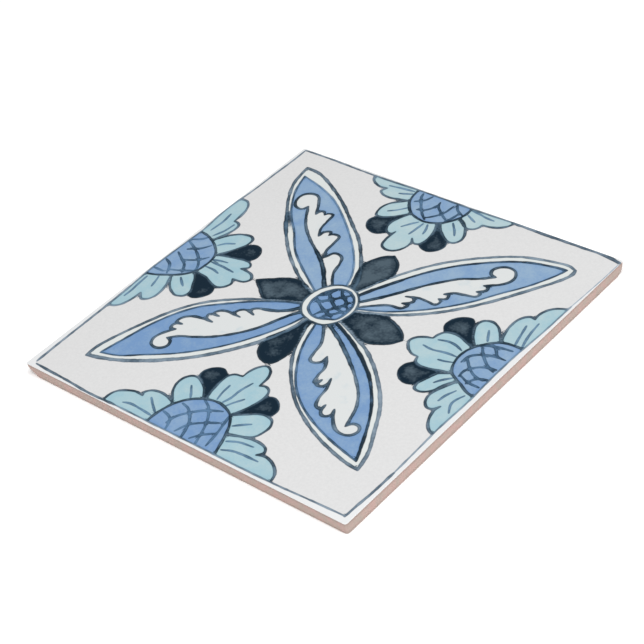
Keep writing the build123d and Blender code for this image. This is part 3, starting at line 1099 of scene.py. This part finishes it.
strokeLook = {
    "guard": 0.3,            # mm by which the way to a stroke may measure less than the distance to it
    "swell": (0.80, 1.20),   # the narrowest and widest, as shares of the stroke's width
    "swellSpread": 0.22,     # waves of that in a millimetre
    "load": 0.19,            # how much darker where the brush is full, and lighter where it runs dry
    "loadSpread": 0.16,
    "bleed": 0.25,           # small darker and lighter spots
    "ragged": 0.14,          # mm that the edge wanders
    "soft": (0.16, -0.20),   # mm from the edge over which the stroke fades in
    "rim": (-0.55, -0.10),   # mm from the edge over which it darkens outwards, and by how much
    "rimTone": (-0.08, 0.10),
    "cover": (0.72, 0.98),   # how well a thin stroke hides what is under it, and a full one
}


def makeStroke():
    # The brush's own line: soft at its edges, wider and narrower, darker where the brush was full
    look = strokeLook
    group, nodes, given, wanted = newGroup(
        "brushStroke",
        [("Offset", "NodeSocketVector", None), ("Half", "NodeSocketFloat", 0.5),
         ("Tone", "NodeSocketFloat", 0.8), ("Place", "NodeSocketVector", None),
         ("Wobble", "NodeSocketFloat", 0.0)],
        [("Cover", "NodeSocketFloat"), ("Ink", "NodeSocketFloat")])
    parts = nodes.add("ShaderNodeSeparateXYZ", (-1000, 200))
    nodes.link(given["Offset"], parts.inputs["Vector"])
    across = nodes.math("POWER", parts.outputs["X"], 2.0, (-800, 300))
    up = nodes.math("POWER", parts.outputs["Y"], 2.0, (-800, 150))
    straight = nodes.math("SQRT", nodes.math("ADD", across, up, (-650, 250)), 0.0, (-500, 250))
    guarded = nodes.math("SUBTRACT", parts.outputs["Z"], look["guard"], (-650, 50))
    distance = nodes.math("MAXIMUM", straight, guarded, (-350, 200))
    width = nodes.noise(given["Place"], look["swellSpread"], 2.0, (-1000, -100))
    swell = nodes.span(width, 0.25, 0.75, (-800, -100), *look["swell"])
    wide = nodes.math("MULTIPLY", given["Half"], swell, (-600, -100))
    edge = nodes.math("SUBTRACT", distance, wide, (-200, 100))
    ragged = nodes.math("MULTIPLY_ADD", given["Wobble"], look["ragged"], (-50, 100), edge)
    mask = nodes.span(ragged, *look["soft"], (100, 100))
    paint = nodes.noise(given["Place"], look["loadSpread"], 3.0, (-1000, -400))
    loading = nodes.span(paint, 0.3, 0.7, (-800, -400), -look["load"], look["load"])
    loaded = nodes.math("ADD", given["Tone"], loading, (-600, -400))
    bled = nodes.math("MULTIPLY_ADD", given["Wobble"], look["bleed"], (-400, -400), loaded)
    rim = nodes.span(ragged, *look["rim"], (100, -200), *look["rimTone"])
    tone = nodes.math("ADD", bled, rim, (250, -300))
    held = nodes.math("MINIMUM", nodes.math("MAXIMUM", tone, 0.0, (350, -400)), 1.0, (450, -400))
    full = nodes.span(tone, 0.0, 0.9, (350, -100), *look["cover"])
    nodes.link(nodes.math("MULTIPLY", mask, full, (450, 100)), wanted["Cover"])
    nodes.link(held, wanted["Ink"])
    return group


glazeLook = {
    "slow": 6.0,                   # mm across the washes' slow clouds
    "fine": 0.9,                   # mm across their grain
    "wobble": 1.2,                 # how far the edges of the washes wander
    "wobbleSpread": 0.8,           # waves of that in a millimetre
    "clouds": 0.25,                # the grain's range, over which the ground goes from light to deep
    "tint": 0.55,                  # the faint blue in the pale leaves, where the slow clouds are high
    "tintClouds": (0.06, 0.24),
    "marginSoft": 0.25,            # mm over which the margin and the washes fade out at their edges
    "washSoft": 0.22,
    "roughness": 0.16,
    "refraction": 1.45,
    "ripple": 0.05,                # mm of unevenness of the glaze
    "rippleSpread": 0.10,
    "rippleStrength": 0.35,
}


def makeGlaze(mottle, wash, stroke):
    look = glazeLook
    material, nodes, shader = newMaterial("paintedGlaze")
    place = placeInMm(nodes)
    uneven = useGroup(nodes, mottle, (-2100, 300), Place=place, Slow=look["slow"], Fine=look["fine"])
    wobbleNoise = nodes.noise(place, look["wobbleSpread"], 2.0, (-2100, 0))
    wobble = nodes.math("MULTIPLY_ADD", wobbleNoise, look["wobble"], (-1900, 0), -look["wobble"] / 2)
    washTone = attribute(nodes, "washTone", (-2100, 600))
    outside = attribute(nodes, "margin", (-1800, 900))
    margin = useGroup(nodes, wash, (-1600, 900), Distance=outside, Soft=look["marginSoft"])
    clouded = nodes.span(uneven["Grain"], -look["clouds"], look["clouds"], (-1800, 700), smooth=False)
    ground = nodes.mix(clouded, colours["ground"], colours["groundDeep"], (-1600, 700))
    colour = nodes.mix(margin["Cover"], colours["margin"], ground, (-1300, 900))
    tint = nodes.span(uneven["Tone"], *look["tintClouds"], (-1400, 700), 0.0, look["tint"])
    for index, laid in enumerate(washLooks):
        x = -1100 + index * 300
        distance = attribute(nodes, laid["name"] + "Wash", (x - 400, 1300))
        spread = useGroup(
            nodes, wash, (x - 200, 1300), Distance=distance, Wobble=wobble, Soft=look["washSoft"],
            Reach=laid["reach"])
        base = tint if laid["name"] == "pale" else washTone
        varied = nodes.math("MULTIPLY_ADD", uneven["Tone"], laid["vary"], (x, 1600), base)
        pooled = nodes.math("MULTIPLY_ADD", spread["Pool"], laid["pooling"], (x, 1450), varied)
        grained = nodes.math("MULTIPLY_ADD", uneven["Grain"], laid["grain"], (x, 1300), pooled)
        held = nodes.math("MINIMUM", nodes.math("MAXIMUM", grained, 0.0, (x, 1200)), 1.0, (x, 1100))
        paint = nodes.mix(held, colours[laid["light"]], colours[laid["deep"]], (x, 1000))
        colour = nodes.mix(spread["Cover"], colour, paint, (x + 150, 900))
    for index, (name, thin) in enumerate((("fine", "fineThin"), ("broad", "inkThin"))):
        y = -600 - index * 500
        line = useGroup(
            nodes, stroke, (-600, y), Place=place, Wobble=wobble,
            Offset=attribute(nodes, name + "Offset", (-900, y)),
            Half=attribute(nodes, name + "Half", (-900, y - 150)),
            Tone=attribute(nodes, name + "Tone", (-900, y - 300)))
        ink = nodes.mix(line["Ink"], colours[thin], colours["inkFull"], (-300, y))
        colour = nodes.mix(line["Cover"], colour, ink, (500 + index * 200, 600))
    nodes.link(colour, shader.inputs["Base Color"])
    shader.inputs["Roughness"].default_value = look["roughness"]
    shader.inputs["IOR"].default_value = look["refraction"]
    ripple = nodes.noise(place, look["rippleSpread"], 1.0, (300, -600))
    bump = nodes.add("ShaderNodeBump", (700, -500))
    nodes.feed(bump, Height=ripple, Strength=look["rippleStrength"], Distance=look["ripple"] * mm)
    nodes.link(bump.outputs["Normal"], shader.inputs["Normal"])
    return material


clayLook = {
    "slow": 3.6,                   # mm across its pinker and sandier patches
    "fine": 0.5,                   # mm across its grain
    "contrast": 1.6,
    "pits": (0.10, 0.28),          # the grain's range, over which pits get dark, and how dark
    "pitShade": 0.5,
    "under": (3.4, 4.2),           # mm above the back: painted shadow under the glaze's edge, darker upwards
    "paintedShadowUnderGlaze": 0.40,
    "foot": (1.6, 0.5),            # mm above the back: painted shade, darker downwards, at the foot and over the back
    "paintedShadeAtFoot": 0.38,
    "roughness": 0.9,
    "shine": 0.2,
    "grain": 0.15,                 # mm
    "grainStrength": 0.6,
}


def makeClay(mottle):
    look = clayLook
    material, nodes, shader = newMaterial("rawClay")
    place = placeInMm(nodes)
    uneven = useGroup(nodes, mottle, (-2100, 300), Place=place, Slow=look["slow"], Fine=look["fine"])
    tone = nodes.math("MULTIPLY_ADD", uneven["Tone"], look["contrast"], (-1800, 300), 0.5)
    hue = nodes.span(tone, 0.2, 0.8, (-1600, 300))
    colour = nodes.mix(hue, colours["clayPink"], colours["clayBeige"], (-1300, 300))
    pits = nodes.span(uneven["Grain"], *look["pits"], (-1600, 0), 0.0, look["pitShade"])
    colour = nodes.mix(pits, colour, colours["clayDark"], (-1000, 300))
    parts = nodes.add("ShaderNodeSeparateXYZ", (-2100, -300))
    nodes.link(place, parts.inputs["Vector"])
    # painted shadow: the clay darkens upwards under the glaze's overhanging edge
    under = nodes.span(parts.outputs["Z"], *look["under"], (-1600, -300), 0.0, look["paintedShadowUnderGlaze"])
    # painted shade: the clay darkens downwards towards the foot and over the whole back
    foot = nodes.span(parts.outputs["Z"], *look["foot"], (-1600, -550), 0.0, look["paintedShadeAtFoot"])
    paintedShade = nodes.math("ADD", under, foot, (-1300, -400))
    colour = nodes.mix(paintedShade, colour, colours["clayDark"], (-700, 300))
    nodes.link(colour, shader.inputs["Base Color"])
    shader.inputs["Roughness"].default_value = look["roughness"]
    shader.inputs["Specular IOR Level"].default_value = look["shine"]
    bump = nodes.add("ShaderNodeBump", (700, -500))
    nodes.feed(bump, Height=uneven["Grain"], Strength=look["grainStrength"], Distance=look["grain"] * mm)
    nodes.link(bump.outputs["Normal"], shader.inputs["Normal"])
    return material


def dressTile(obj, ring):
    # Glaze over the face and most of the arris, bare clay everywhere else
    mottle = makeMottle()
    obj.data.materials.clear()
    obj.data.materials.append(makeGlaze(mottle, makeWash(), makeStroke()))
    obj.data.materials.append(makeClay(mottle))
    slots = []
    for face in obj.data.polygons:
        glazed = max(ring[corner] for corner in face.vertices) < tile["arrisSteps"]
        slots.append(0 if glazed else 1)
    obj.data.polygons.foreach_set("material_index", slots)
    obj.data.update()
    print("tile dressed:", slots.count(0), "glazed faces")


# Map of the piece for its textures: the face with the sides folded out round it, and the back beside it

sheet = {
    "face": 0.84,      # share of the map for the face and its folded sides
    "reach": 81.6,     # mm from the centre to the end of the folded sides
    "back": 0.145,
    "backReach": 76.3,
    "gap": 0.008,      # between the two
    "level": 0.001,    # mm below the face from which a point is on a side
}


def layMap(obj, ring):
    layer = obj.data.uv_layers.new(name="OFBake")
    obj.data.uv_layers.active = layer
    points = meshPoints(obj)
    thickness = points[:, 2].max()
    drop = thickness - points[:, 2]
    core = np.abs(points[:, :2]).max() - tile["cornerRadius"]
    nearest, out = roundedOutline(points[:, :2], core)
    flat = points[:, :2] + out * np.where(drop > sheet["level"], drop, 0)[:, None]
    corners = np.empty(len(obj.data.loops), np.int32)
    obj.data.loops.foreach_get("vertex_index", corners)
    onBack = np.zeros(len(corners), bool)
    for face in obj.data.polygons:
        if all(ring[corner] >= ring.max() for corner in face.vertices):
            onBack[face.loop_start:face.loop_start + face.loop_total] = True
    spread = sheet["face"] / (2 * sheet["reach"])
    small = sheet["back"] / (2 * sheet["backReach"])
    spots = (flat[corners] + sheet["reach"]) * spread
    backSpots = (points[corners, :2] + sheet["backReach"]) * small + (sheet["face"] + sheet["gap"])
    spots = np.where(onBack[:, None], backSpots, spots)
    layer.data.foreach_set("uv", spots.ravel())


# Studio: a pale floor that ends white, one wide soft lamp above, a little light from all round

studio = {
    "lampSize": 1.6, "lampPower": 32.4,
    "lampPlace": (0.42, -0.18, 1.46),     # towards the right side, which is the lightest
    "worldLight": 0.17,
    "floorSize": 6.0, "floorDrop": 0.00002, "floorColour": (0.97, 0.97, 0.97), "floorGlow": 0.12,
}


def makeFloor():
    bpy.ops.object.select_all(action="DESELECT")
    bpy.ops.mesh.primitive_plane_add(size=studio["floorSize"], location=(0, 0, -studio["floorDrop"]))
    floor = bpy.context.object
    floor.name = "floor"
    material, _, shader = newMaterial("paleFloor")
    shader.inputs["Base Color"].default_value = studio["floorColour"] + (1.0,)
    shader.inputs["Emission Color"].default_value = (1.0, 1.0, 1.0, 1.0)
    shader.inputs["Emission Strength"].default_value = studio["floorGlow"]
    shader.inputs["Roughness"].default_value = 0.9
    shader.inputs["Specular IOR Level"].default_value = 0.0
    floor.data.materials.append(material)


def makeLamp(name, place, size, power):
    data = bpy.data.lights.new(name, "AREA")
    data.shape = "SQUARE"
    data.size = size
    data.energy = power
    lamp = bpy.data.objects.new(name, data)
    bpy.context.scene.collection.objects.link(lamp)
    lamp.location = place
    aim = -Vector(place)
    lamp.rotation_euler = aim.to_track_quat("-Z", "Y").to_euler()


def makeWorld():
    world = bpy.data.worlds.new("studio")
    bpy.context.scene.world = world
    world.use_nodes = True
    world.node_tree.nodes.clear()
    nodes = Nodes(world.node_tree)
    output = nodes.add("ShaderNodeOutputWorld", (600, 0))
    seen = nodes.add("ShaderNodeLightPath", (-600, 200)).outputs["Is Camera Ray"]
    level = nodes.math("MULTIPLY_ADD", seen, 1.0 - studio["worldLight"], (-300, 200), studio["worldLight"])
    back = nodes.add("ShaderNodeBackground", (300, 0))
    nodes.link(level, back.inputs["Strength"])
    nodes.link(back.outputs["Background"], output.inputs["Surface"])


glazed, ring = makeTile()
paintTile(glazed, ring)
dressTile(glazed, ring)
layMap(glazed, ring)
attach(glazed, "root")
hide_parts("tile")
makeFloor()
makeLamp("softLamp", studio["lampPlace"], studio["lampSize"], studio["lampPower"])
makeWorld()
bpy.context.scene.view_settings.view_transform = "Standard"
setCamera()
